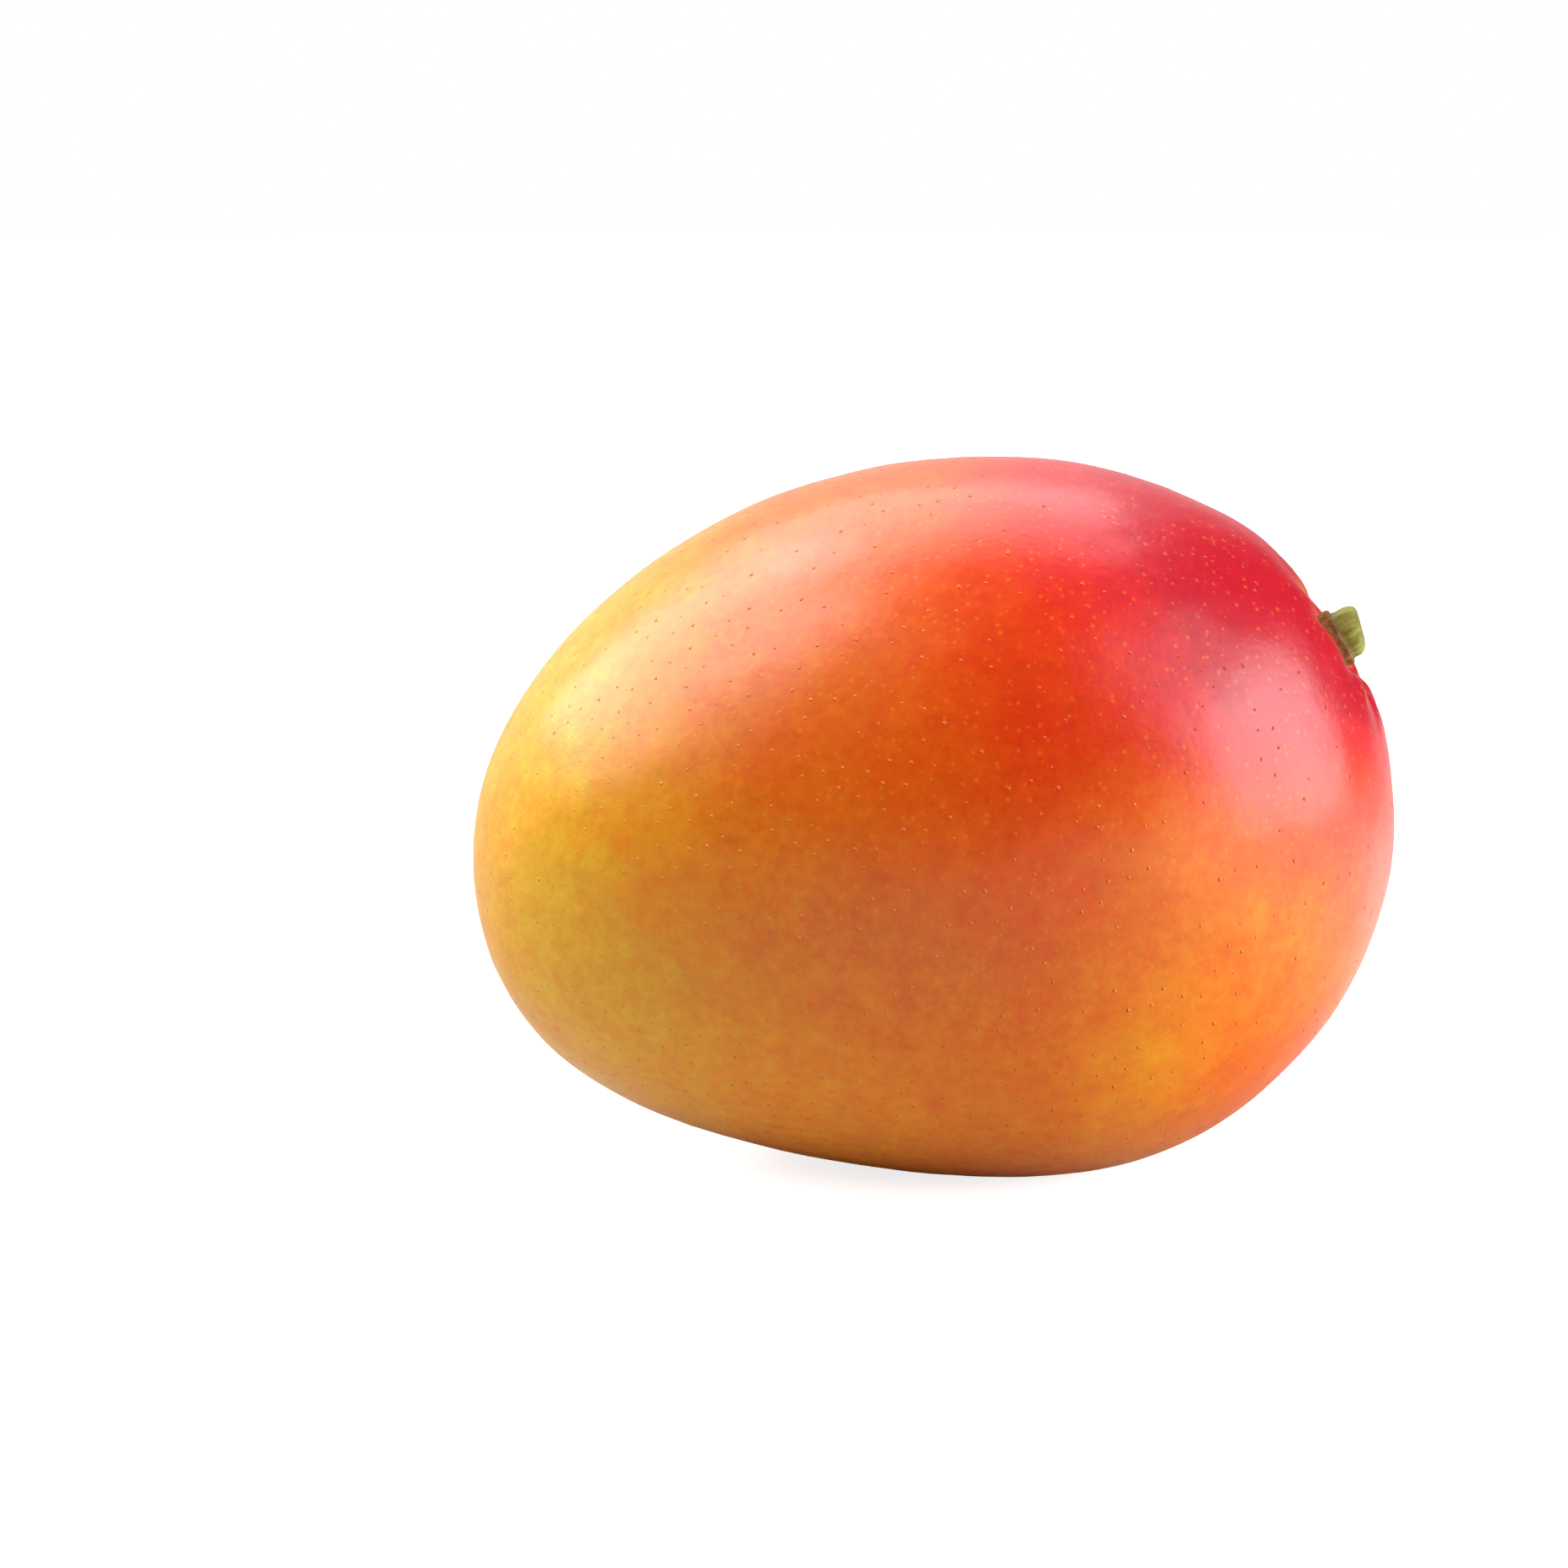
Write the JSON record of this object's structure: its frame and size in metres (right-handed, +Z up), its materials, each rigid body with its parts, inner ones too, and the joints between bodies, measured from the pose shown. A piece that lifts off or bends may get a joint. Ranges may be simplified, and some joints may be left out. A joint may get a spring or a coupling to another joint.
{
  "type": "mango",
  "caption": "Whole ripe mango, as picked, lying on its belly edge with the stem end raised; a short cut stem stub stands in the hollow at its top.",
  "frame": {"origin": "on the flat resting spot, in the middle of the whole object's length and thickness", "axes": "+X along the fruit towards the stem end, +Y through the cheeks, away from the cheek that the picture shows, +Z up from the resting spot"},
  "size_m": [0.1186, 0.084, 0.0921],
  "materials": {
    "skin": "smooth waxy fruit skin, satin, golden yellow at the beak, orange on the cheeks and crimson at the stem end",
    "stem_bark": "green stalk bark, matt, with a brown corky collar and a dry cut end"
  },
  "bodies": {
    "root": {"fruit": "skin", "stem": "stem_bark"}
  },
  "joints": []
}
